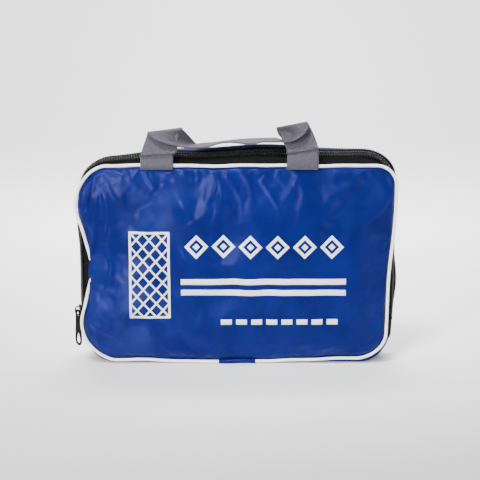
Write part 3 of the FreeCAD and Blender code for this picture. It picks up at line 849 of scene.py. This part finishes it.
def make_piping():
    """Both cords, and the wrap where the front one's ends meet under the panel."""
    line = piping_line(FRONT_SEAM, -SEAM_DEPTH - PIPING_FORWARD)
    left = int(np.argmax(line[:, 0] < WRAP_LEFT))
    right = COUNT - 1 - int(np.argmax(line[::-1, 0] > WRAP_RIGHT))
    wobble = 1 + 0.02 * np.sin(np.arange(COUNT) * 0.9)
    tube = sweep(line[left:right], PIPING_RADIUS * wobble[left:right], PIPING_SIDES)
    dress(make_mesh("front_piping_cord", *tube), PIPING, "front_piping",
          "front_piping_foot_left", "front_piping_foot_right", body="fold")
    joint = np.vstack([line[right - 1:], line[:left + 1]])
    wrap = sweep(resample(joint, 24), WRAP_RADIUS, PIPING_SIDES)
    dress(make_mesh("piping_wrap", *wrap), NYLON, "piping_joint_sleeve")
    line = piping_line(BACK_SEAM, SEAM_DEPTH + PIPING_FORWARD)
    tube = sweep(line, PIPING_RADIUS, PIPING_SIDES, closed=True)
    dress(make_mesh("rear_piping_cord", *tube), PIPING, "rear_piping")


make_piping()


# ---- the handle

# The strap's two edges, station by station from the left foot over to the right one: x, y, z on
# the edge that is on the left at its left foot, then on the other.
STRAP = [
    (-88.4, -23.5, 185.6, -58.4, -23.5, 185.6), (-88.4, -24.9, 190, -58.4, -24.9, 190),
    (-88.3, -23.4, 198.8, -58.3, -23.4, 200.8), (-88.2, -23.6, 199.5, -58.0, -23.6, 201.5),
    (-87.9, -26.0, 199.2, -56.4, -26.0, 201.2), (-87.5, -25.8, 200.2, -54.8, -25.6, 202.2),
    (-85.8, -21.8, 206.5, -54.0, -21.4, 209.0), (-83.4, -18.8, 213.5, -53.0, -18.6, 217.5),
    (-81.9, -18.6, 218.6, -50.8, -17.8, 222.3), (-81.2, -20.2, 219.6, -50.0, -19.0, 223.4),
    (-80.0, -22.8, 217.8, -49.6, -20.0, 222.0), (-75.0, -26.4, 213.7, -47.4, -15.5, 219.6),
    (-68.0, -28.4, 211.2, -44.5, -10.5, 215.8), (-61.0, -28.6, 209.5, -41.8, -6.0, 211.8),
    (-54.6, -27.6, 207.6, -39.4, -2.0, 208.4), (-46.5, -25.6, 206.2, -37.0, 2.5, 206.6),
    (-38.0, -24.0, 205.8, -32.4, 5.2, 207.0), (-27.0, -22.8, 206.4, -24.0, 6.6, 207.4),
    (-15.6, -22.4, 209.8, -14.0, 7.0, 208.6), (-4.0, -22.2, 210.6, -3.0, 7.2, 209.9),
    (7.0, -22.2, 209.2, 7.5, 7.0, 210.9), (16.0, -22.2, 209.4, 16.0, 7.0, 211.3),
    (24.0, -22.2, 211.0, 23.0, 7.0, 211.5), (31.0, -22.4, 211.0, 30.0, 6.8, 211.7),
    (38.0, -23.2, 211.2, 38.0, 6.2, 211.4), (43.0, -25.2, 211.3, 44.0, 5.0, 208.8),
    (47.6, -27.0, 211.9, 46.8, 2.8, 208.0), (52.0, -28.0, 213.3, 46.0, 1.0, 209.0),
    (57.0, -28.4, 216.0, 43.3, -2.4, 212.3), (61.8, -27.6, 220.0, 39.2, -8.7, 215.7),
    (65.0, -25.4, 225.0, 36.8, -16.3, 220.5), (64.4, -22.6, 228.6, 35.9, -20.8, 223.2),
    (63.9, -20.6, 229.0, 36.2, -20.0, 223.6), (65.2, -19.0, 227.4, 37.4, -18.8, 222.0),
    (68.4, -18.7, 221.5, 39.6, -18.2, 216.5), (71.6, -19.8, 214.4, 42.4, -19.6, 210.0),
    (73.6, -22.8, 208.4, 45.6, -23.2, 203.6), (73.9, -25.4, 206.4, 45.4, -25.4, 201.6),
    (74.0, -25.3, 205.4, 45.4, -25.3, 200.7), (74.2, -23.6, 205.6, 45.5, -23.6, 201.0),
    (74.5, -24.2, 202.0, 45.8, -24.2, 198.6), (74.9, -25.0, 194.0, 45.6, -25.0, 192.0),
    (74.6, -23.5, 185.6, 45.2, -23.5, 185.6),
]


def make_handle():
    across, step = 15, 1.1
    pairs = np.reshape(STRAP, (-1, 2, 3))
    runs = np.linalg.norm(np.diff(pairs, axis=0), axis=2).mean(axis=1)
    counts = [max(2, int(run / step)) for run in runs]
    near, far = (curve_by_station(pairs[:, edge], counts) for edge in (0, 1))
    shares = np.linspace(0, 1, across)[None, :, None]
    surface = near[:, None] * (1 - shares) + far[:, None] * shares
    piece = make_mesh("handle_webbing", surface.reshape(-1, 3), grid_faces(len(near), across))
    along = lengths_along((near + far) / 2)
    layer = piece.data.uv_layers.new(name="strap")
    for loop in piece.data.loops:
        row, column = divmod(loop.vertex_index, across)
        layer.data[loop.index].uv = (column / (across - 1), along[row])
    thicken(piece, WEBBING_THICKNESS, offset=0)
    dress(piece, WEBBING, "handle_end_left", "handle_end_right", "handle_strap", body=None)
    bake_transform(piece)


make_handle()


# ---- bindings and end stops

def make_binding(name, node, seam, depth, body):
    """The tape folded round the raw seam allowance, inside."""
    ripple = 1 + 0.06 * np.sin(np.arange(COUNT) * 1.7)
    line = np.insert(seam - outward(seam) * ALLOWANCE, 1, depth, axis=1)
    tube = sweep(line, BINDING_RADIUS * ripple, closed=True, squash=BINDING_SQUASH)
    dress(make_mesh(name, *tube), TAPE, node, body=body)


def make_stop(name, node, side):
    """A bent metal staple across both tapes, pressed a little in the middle."""
    low, high = cad_box(node)
    foot = side * min(abs(low[0]), abs(high[0]))
    top = side * (max(abs(low[0]), abs(high[0])) - 0.5)
    level, count, sides, wire = (low[2] + high[2]) / 2, 40, 12, 0.5
    path = [(foot, low[1] + 0.3), ((foot + top) / 2, low[1] + 0.35), (top, low[1] + 1.0),
            (top - side * 0.15, (low[1] + high[1]) / 2), (top, high[1] - 1.0),
            ((foot + top) / 2, high[1] - 0.35), (foot, high[1] - 0.3)]
    width = 1.15 - 0.12 * bell(np.arange(count), 20, 5)
    verts, faces = sweep(curve_through([(x, y, level) for x, y in path], count), wire, sides)
    verts[:, 2] = level + (verts[:, 2] - level) * np.repeat(width, sides) / wire
    dress(make_mesh(name, verts, faces), METAL, node)


make_binding("front_binding", "front_seam_binding", FRONT_SEAM, -SEAM_DEPTH + BINDING_DEPTH,
             "fold")
make_binding("rear_binding", "rear_seam_binding", BACK_SEAM, SEAM_DEPTH - BINDING_DEPTH, "case")
make_stop("left_stop_clip", "left_end_stop", -1)
make_stop("right_stop_clip", "right_end_stop", 1)


# ---- the slider and its pull

def plate(outline, holes, thickness, edge):
    """Points and faces of a flat plate with rounded edges; outline and holes are (a, b)."""
    curve = bpy.data.curves.new("plate", "CURVE")
    curve.dimensions = "2D"
    curve.fill_mode = "BOTH"
    curve.extrude = thickness / 2 - edge
    curve.bevel_depth = edge
    curve.bevel_resolution = 3
    for loop in [outline] + holes:
        spline = curve.splines.new("POLY")
        spline.points.add(len(loop) - 1)
        spline.use_cyclic_u = True
        for point, (across, up) in zip(spline.points, loop):
            point.co = (across, up, 0, 1)
    holder = add_object("plate", curve)
    mesh = evaluated_mesh(holder)
    verts, faces = mesh_points(mesh), [tuple(face.vertices) for face in mesh.polygons]
    bpy.data.objects.remove(holder)
    bpy.data.curves.remove(curve)
    bpy.data.meshes.remove(mesh)
    return verts, faces


def place(part, origin, outward_axis, local):
    """Stand a local shape on the wall: local gives (outward, sideways, up) per point."""
    verts, faces = part
    outward_axis = np.array(outward_axis, float)
    side_axis = np.cross((0, 0, 1), outward_axis)
    spots = np.array([local(*point) for point in verts])
    spots = (np.array(origin) + spots[:, :1] * outward_axis + spots[:, 1:2] * side_axis
             + spots[:, 2:] * np.array([0, 0, 1.0]))
    return spots, faces


WALL_OUT, PULL_OUT = ((-math.cos(turn), -math.sin(turn), 0)
                      for turn in map(math.radians, (19.285, 44.285)))
PULL_REACH = 6.05
SLIDER_SPOT = PULL_AXIS - PULL_REACH * np.array(WALL_OUT)


def mirrored(half):
    """A loop from its right half, which starts and ends on the middle line."""
    return half + [(-a, b) for a, b in half[-2:0:-1]]


def make_slider():
    """A nose-down zip slider: two shields with side flanges, a web, and a bridge for the pull."""
    shield = mirrored([(0, 5.5), (2.6, 5.4), (4.3, 4.6), (4.9, 2.6), (4.6, 0.2), (3.9, -2.2),
                       (3.4, -4.2), (2.6, -5.3), (0, -5.6)])
    outline = closed_curve(shield, 72)
    flange = plate([(-0.5, -4.6), (0.5, -4.6), (0.5, 1.8), (0.3, 3.4), (-0.3, 3.4), (-0.5, 1.8)],
                   [], 2.6, 0.25)
    web = plate([(-0.2, 2.8), (0.2, 2.8), (0.2, 5.3), (-0.2, 5.3)], [], 6.4, 0.08)
    bridge = curve_through([(3.7, 0, -4.0), (5.4, 0, -4.2), (7.6, 0, -3.2), (8.3, 0, -1.0),
                            (8.3, 0, 1.2), (7.6, 0, 3.2), (5.4, 0, 4.2), (3.7, 0, 4.0)], 44)

    def lip(side):
        def local(a, b, c):
            bow = 4.55 - 0.9 * smooth((-b + 1.5) / 5.5)
            return 1.75 + c, side * (bow - 0.05 + a * 0.55), b
        return local

    shapes = [(plate(outline, [], 1.2, 0.35),
               lambda a, b, c: (3.35 + c + 0.5 * (1 - (a / 4.9) ** 2), a, b)),
              (plate(outline, [], 0.9, 0.25), lambda a, b, c: (-2.8 + c, a, b)),
              (flange, lip(-1)), (flange, lip(1)), (web, lambda a, b, c: (0.2 + c, a, b)),
              (sweep(bridge, 0.62, 12, squash=1.35), lambda a, b, c: (a, b, c))]
    parts = [place(shape, SLIDER_SPOT, WALL_OUT, local) for shape, local in shapes]
    dress(make_mesh("slider_body", *join_parts(parts)), METAL, "zipper_slider", body="slider")


def make_pull():
    """A stamped pull: a window round the bridge, a waist, and a drop-shaped open end."""
    outline = mirrored([(0, 0.7), (1.9, 0.65), (2.8, -0.4), (3.0, -5.6), (3.0, -8.2),
                        (3.3, -12.0), (3.9, -16.5), (4.4, -21.5), (4.6, -26.5), (4.2, -30.8),
                        (2.5, -33.4), (0, -34.0)])
    window = [(-1.7, -1.0), (1.7, -1.0), (2.0, -1.6), (1.9, -4.6), (1.3, -5.3), (-1.3, -5.3),
              (-1.9, -4.6), (-2.0, -1.6)]
    drop = mirrored([(0, -20.4), (1.0, -22.0), (2.1, -24.6), (3.0, -27.6), (2.8, -30.2),
                     (1.5, -31.8), (0, -32.1)])
    body = place(plate(closed_curve(outline, 120), [window, closed_curve(drop, 60)], 1.1, 0.3),
                 PULL_AXIS, PULL_OUT, lambda a, b, c: (c + 0.25 * bell(b, -10, 4), a, b))
    rib = curve_through([(0.55, 0, -8.0), (0.75, 0, -9.2), (0.75, 0, -12.4), (0.55, 0, -13.6)], 20)
    ridge = place(sweep(rib, 0.55, 10, squash=2.2), PULL_AXIS, PULL_OUT,
                  lambda a, b, c: (a + 0.1, b, c))
    dress(make_mesh("pull_tab", *join_parts([body, ridge])), METAL, "zipper_pull", body="pull")


make_slider()
make_pull()


# ---- the print

# Plain marks where the original has a figure and lettering: a lattice like a net's, a row of
# hollow lozenges, two long stripes and a row of dashes. Boxes are (left, low, right, high).
LATTICE, LATTICE_COLUMNS, LATTICE_ROWS, LATTICE_BAR = (-99, 48, -63, 128), 3, 6, 1.7
LOZENGES, LOZENGE_COUNT = (-50, 104, 100, 126), 6
STRIPES = (-52, 79.5, 101, 85), (-52, 69, 101, 74.5)
DASHES, DASH_COUNT, DASH_SHARE = (-15, 41, 98, 46), 8, 0.72
PRINT_STEP, PRINT_LIFT, PRINT_THICKNESS = 1.3, 0.16, 0.12


def bar(start, end, width):
    """The four corners of a straight bar between two (x, z) points."""
    start, end = np.array(start, float), np.array(end, float)
    along = (end - start) / np.linalg.norm(end - start)
    across = np.array([-along[1], along[0]]) * width / 2
    return [start - across, end - across, end + across, start + across]


def level_bar(left, low, right, high):
    return bar((left, (low + high) / 2), (right, (low + high) / 2), high - low)


def lattice_bars(left, low, right, high):
    """Crossing diagonals that meet the box's edges, and the box's own frame."""
    wide, tall = (right - left) / LATTICE_COLUMNS, (high - low) / LATTICE_ROWS
    quads = []
    for row in range(LATTICE_ROWS):
        for column in range(LATTICE_COLUMNS):
            x, z = left + column * wide, low + row * tall
            quads.append(bar((x, z), (x + wide, z + tall), LATTICE_BAR))
            quads.append(bar((x, z + tall), (x + wide, z), LATTICE_BAR))
    corners = [(left, low), (right, low), (right, high), (left, high)]
    for start, end in zip(corners, corners[1:] + corners[:1]):
        inset = np.sign(np.subtract(end, start)) * (LATTICE_BAR / 2)
        quads.append(bar(start - inset, end + inset, LATTICE_BAR * 1.3))
    return quads


def lozenge_ring(centre, wide, tall, share):
    """A hollow lozenge as four bars with mitred ends."""
    tips = [(wide, 0), (0, tall), (-wide, 0), (0, -tall)]
    return [[np.add(centre, part) for part in
             ((a, b), (c, d), (c * share, d * share), (a * share, b * share))]
            for (a, b), (c, d) in zip(tips, tips[1:] + tips[:1])]


def print_quads():
    quads = lattice_bars(*LATTICE)
    left, low, right, high = LOZENGES
    pitch = (right - left) / LOZENGE_COUNT
    for index in range(LOZENGE_COUNT):
        centre = (left + (index + 0.5) * pitch, (low + high) / 2)
        quads += lozenge_ring(centre, pitch * 0.44, (high - low) / 2, 0.62)
        quads += lozenge_ring(centre, pitch * 0.13, (high - low) * 0.15, 0.05)
    quads += [level_bar(*box) for box in STRIPES]
    left, low, right, high = DASHES
    pitch = (right - left) / DASH_COUNT
    for start in [left + index * pitch for index in range(DASH_COUNT)]:
        quads.append(level_bar(start, low, start + pitch * DASH_SHARE, high))
    return quads


def make_print():
    """Lay each flat mark onto the folded panel and give it the thickness of ink."""
    tree = BVHTree.FromObject(FRONT_PANEL, bpy.context.evaluated_depsgraph_get())
    parts = []
    for quad in print_quads():
        corners = np.array(quad, float)
        rows, columns = (2 + int(np.ceil(np.linalg.norm(corners[corner] - corners[0])
                                         / PRINT_STEP)) for corner in (1, 3))
        verts = []
        for along in np.linspace(0, 1, rows):
            near = corners[0] * (1 - along) + corners[1] * along
            far = corners[3] * (1 - along) + corners[2] * along
            for across in np.linspace(0, 1, columns):
                x, z = near * (1 - across) + far * across
                hit = tree.ray_cast(Vector((x, -80, z)) * MM, Vector((0, 1, 0)))[0]
                verts.append((x, hit[1] / MM - PRINT_LIFT, z))
        turn = np.cross(corners[1] - corners[0], corners[3] - corners[0])
        order = 1 if turn < 0 else -1
        parts.append((verts, [face[::order] for face in grid_faces(rows, columns)]))
    piece = make_mesh("panel_print", *join_parts(parts))
    thicken(piece, PRINT_THICKNESS, offset=1.0)
    dress(piece, INK, body="fold")


make_print()


# ---- the folded net

# The net is 6.1 m long, folded to and fro across the case.
NET_LAYERS, NET_END, NET_MESH, TWINE_RADIUS, TWINE_SIDES = 23, 124.0, 18.0, 0.55, 4
LAYER_POINTS, UPRIGHT_POINTS = 42, 13
NET_SLACK, TWINE_SAG, TWINE_LEAN = 0.5, 0.9, 0.8
EDGE_TAPE_THICKNESS, END_TAPE_THICKNESS = 0.45, 0.5


def folded_run(front, rear, phase):
    """The path (x, y) of the fold, end over end, with a little slack in each layer."""
    gap = (rear - front) / (NET_LAYERS - 1)
    points = []
    for layer in range(NET_LAYERS):
        reach = NET_END + 1.6 * math.sin(layer * 2.9 + phase)
        across = np.linspace(-reach, reach, LAYER_POINTS) * (1 if layer % 2 == 0 else -1)
        slack = (NET_SLACK * np.sin(across / 19 + layer * 2.3 + phase)
                 * bell(across, 0, 115))
        points += [(x, front + gap * layer + y) for x, y in zip(across, slack)]
        if layer < NET_LAYERS - 1:
            end = across[-1] + math.copysign(gap / 2, across[-1])
            points.append((end, front + gap * (layer + 0.5)))
    return np.array(points)


def make_edge_tape(name, node):
    """A tape sewn along the net, folded with it."""
    low, high = cad_box(node)
    path = folded_run(low[1] + 1.5, high[1] - 1.5, low[2])
    places = np.arange(len(path))
    slip = np.sin(places // (LAYER_POINTS + 1) * 2.1 + low[2])
    rows = []
    for index, level in enumerate(np.linspace(low[2] + 0.8, high[2] - 0.8, 6)):
        sway = 0.7 * slip + 0.2 * np.sin(places * 0.37 + index)
        rows.append(np.column_stack([path, level + sway]))
    piece = dress(make_sheet(name, rows, EDGE_TAPE_THICKNESS, offset=0), COTTON, node)


def knot(*centre):
    """A small faceted knot where two twines cross."""
    size = TWINE_RADIUS * 2.1
    tips = [(size, 0, 0), (-size, 0, 0), (0, size, 0), (0, -size, 0), (0, 0, size), (0, 0, -size)]
    faces = [(0, 2, 4), (2, 1, 4), (1, 3, 4), (3, 0, 4),
             (2, 0, 5), (1, 2, 5), (3, 1, 5), (0, 3, 5)]
    return np.array(tips) + centre, faces


def make_netting():
    low, high = cad_box("netting")
    path = folded_run(low[1] + 2.0, high[1] - 2.0, 0.0)
    along = lengths_along(path)
    levels = np.arange(low[2] + 1.5, high[2] - 1, NET_MESH)
    heights = np.linspace(levels[0], levels[-1], UPRIGHT_POINTS)
    parts = []
    for index, level in enumerate(levels):
        sag = TWINE_SAG * np.sin(along / NET_MESH * math.pi * 2 + index * math.pi)
        parts.append(sweep(np.column_stack([path, level + sag]), TWINE_RADIUS, TWINE_SIDES))
    for station in np.arange(NET_MESH / 2, along[-1], NET_MESH):
        x, y = (np.interp(station, along, axis) for axis in path.T)
        lean = TWINE_LEAN * np.sin(heights / NET_MESH * math.pi * 2 + station)
        upright = np.column_stack([x + lean, np.full(UPRIGHT_POINTS, y), heights])
        parts.append(sweep(upright, TWINE_RADIUS, TWINE_SIDES))
        parts += [knot(x, y, level) for level in levels]
    dress(make_mesh("net_twines", *join_parts(parts)), TWINE, "netting")


def make_end_tape(name, node):
    """The tape down one end of the net, with a row of stitches near each edge."""
    low, high = cad_box(node)
    across = np.linspace(low[0] + 0.6, high[0] - 0.6, 15)
    up = np.linspace(low[2] + 0.8, high[2] - 0.8, 44)
    stitch, pitch = 2.2, 3.2

    def spot(x, z, front=0.0):
        middle = (low[1] + high[1]) / 2 - front
        return x + 0.3 * math.sin(z / 14), middle + 0.22 * math.sin(x / 5 + z / 17), z

    parts = [sweep([spot(x, z, 0.35) for z in np.linspace(start, start + stitch, 4)], 0.2, 5)
             for x in (across[1], across[-2]) for start in np.arange(up[1], up[-2], pitch)]
    rows = [[spot(x, z) for x in across] for z in up]
    piece = dress(make_sheet(name, rows, END_TAPE_THICKNESS, offset=0), COTTON, node)
    stitches = dress(make_mesh(name + "_stitches", *join_parts(parts)), COTTON)


make_netting()
make_edge_tape("head_tape_cloth", "head_tape")
make_edge_tape("bottom_tape_cloth", "bottom_tape")
make_end_tape("left_end_tape", "left_side_tape")
make_end_tape("right_end_tape", "right_side_tape")


# ---- camera, lights, floor

CAMERA_AIM = Vector((2.8, -21.4, 119.7)) * MM
CAMERA_DISTANCE, CAMERA_ELEVATION, CAMERA_VIEW = 0.95, math.radians(11), math.radians(26.44)
CASE_MIDDLE = (0, 0, 0.11)

# Each lamp: its place, what it aims at, its size, its power in watts and its spread in degrees.
LAMPS = {
    "key": ((-0.58, -1.03, 0.50), CASE_MIDDLE, (0.15, 0.45), 2.6, 60),
    "fill": ((0.85, -1.0, 0.30), CASE_MIDDLE, (0.4, 0.4), 0.62, 50),
    "handle": ((-0.25, -0.55, 1.2), (0, -0.02, 0.2), (0.4, 0.3), 0.75, 26),
    "top": ((0.0, 0.55, 1.3), (0, 0.55, 0), (1.2, 0.5), 14, 76),
    "backdrop": ((0, 0.9, 1.6), (0, 2.6, 0.4), (2.4, 0.6), 95, 150),
}
# The floor runs back level and curves up into the backdrop.
FLOOR_FRONT, FLOOR_BACK, BACKDROP_TOP, CURVE_RADIUS, HALF_FLOOR = -3, 2, 4.0, 1.2, 6


def face_along(thing, direction):
    thing.rotation_euler = direction.to_track_quat("-Z", "Y").to_euler()


def make_camera():
    data = bpy.data.cameras.new("camera")
    data.angle = CAMERA_VIEW
    data.clip_start = 0.01
    camera = add_object("camera", data)
    away = Vector((0, -math.cos(CAMERA_ELEVATION), math.sin(CAMERA_ELEVATION)))
    camera.location = CAMERA_AIM + away * CAMERA_DISTANCE
    face_along(camera, -away)
    bpy.context.scene.camera = camera


def make_lamp(name, place, aim, size, power, spread):
    data = bpy.data.lights.new(name, "AREA")
    data.shape = "RECTANGLE"
    data.size, data.size_y = size
    data.energy = power
    data.spread = math.radians(spread)
    lamp = add_object(name, data)
    lamp.location = place
    face_along(lamp, Vector(aim) - Vector(place))


def make_studio():
    for name, lamp in LAMPS.items():
        make_lamp(name, *lamp)
    world = bpy.data.worlds.new("studio")
    world.use_nodes = True
    plug(world.node_tree, world.node_tree.nodes["Background"],
         {"Color": (1.0, 1.0, 1.0, 1), "Strength": 0.5})
    bpy.context.scene.world = world
    steps = [(y, 0.0) for y in np.linspace(FLOOR_FRONT, FLOOR_BACK, 6)]
    steps += [(FLOOR_BACK + CURVE_RADIUS * math.sin(turn),
               CURVE_RADIUS - CURVE_RADIUS * math.cos(turn))
              for turn in np.linspace(0.1, math.pi / 2, 12)]
    steps += [(FLOOR_BACK + CURVE_RADIUS, BACKDROP_TOP)]
    points = [(x / MM, y / MM, z / MM) for y, z in steps for x in (-HALF_FLOOR, HALF_FLOOR)]
    floor = make_mesh("floor", points, grid_faces(len(steps), 2))
    floor.data.materials.append(look("pale_floor", lambda tree: {
        "Base Color": (0.93, 0.93, 0.93, 1), "Roughness": 0.9})[0])


make_camera()
make_studio()
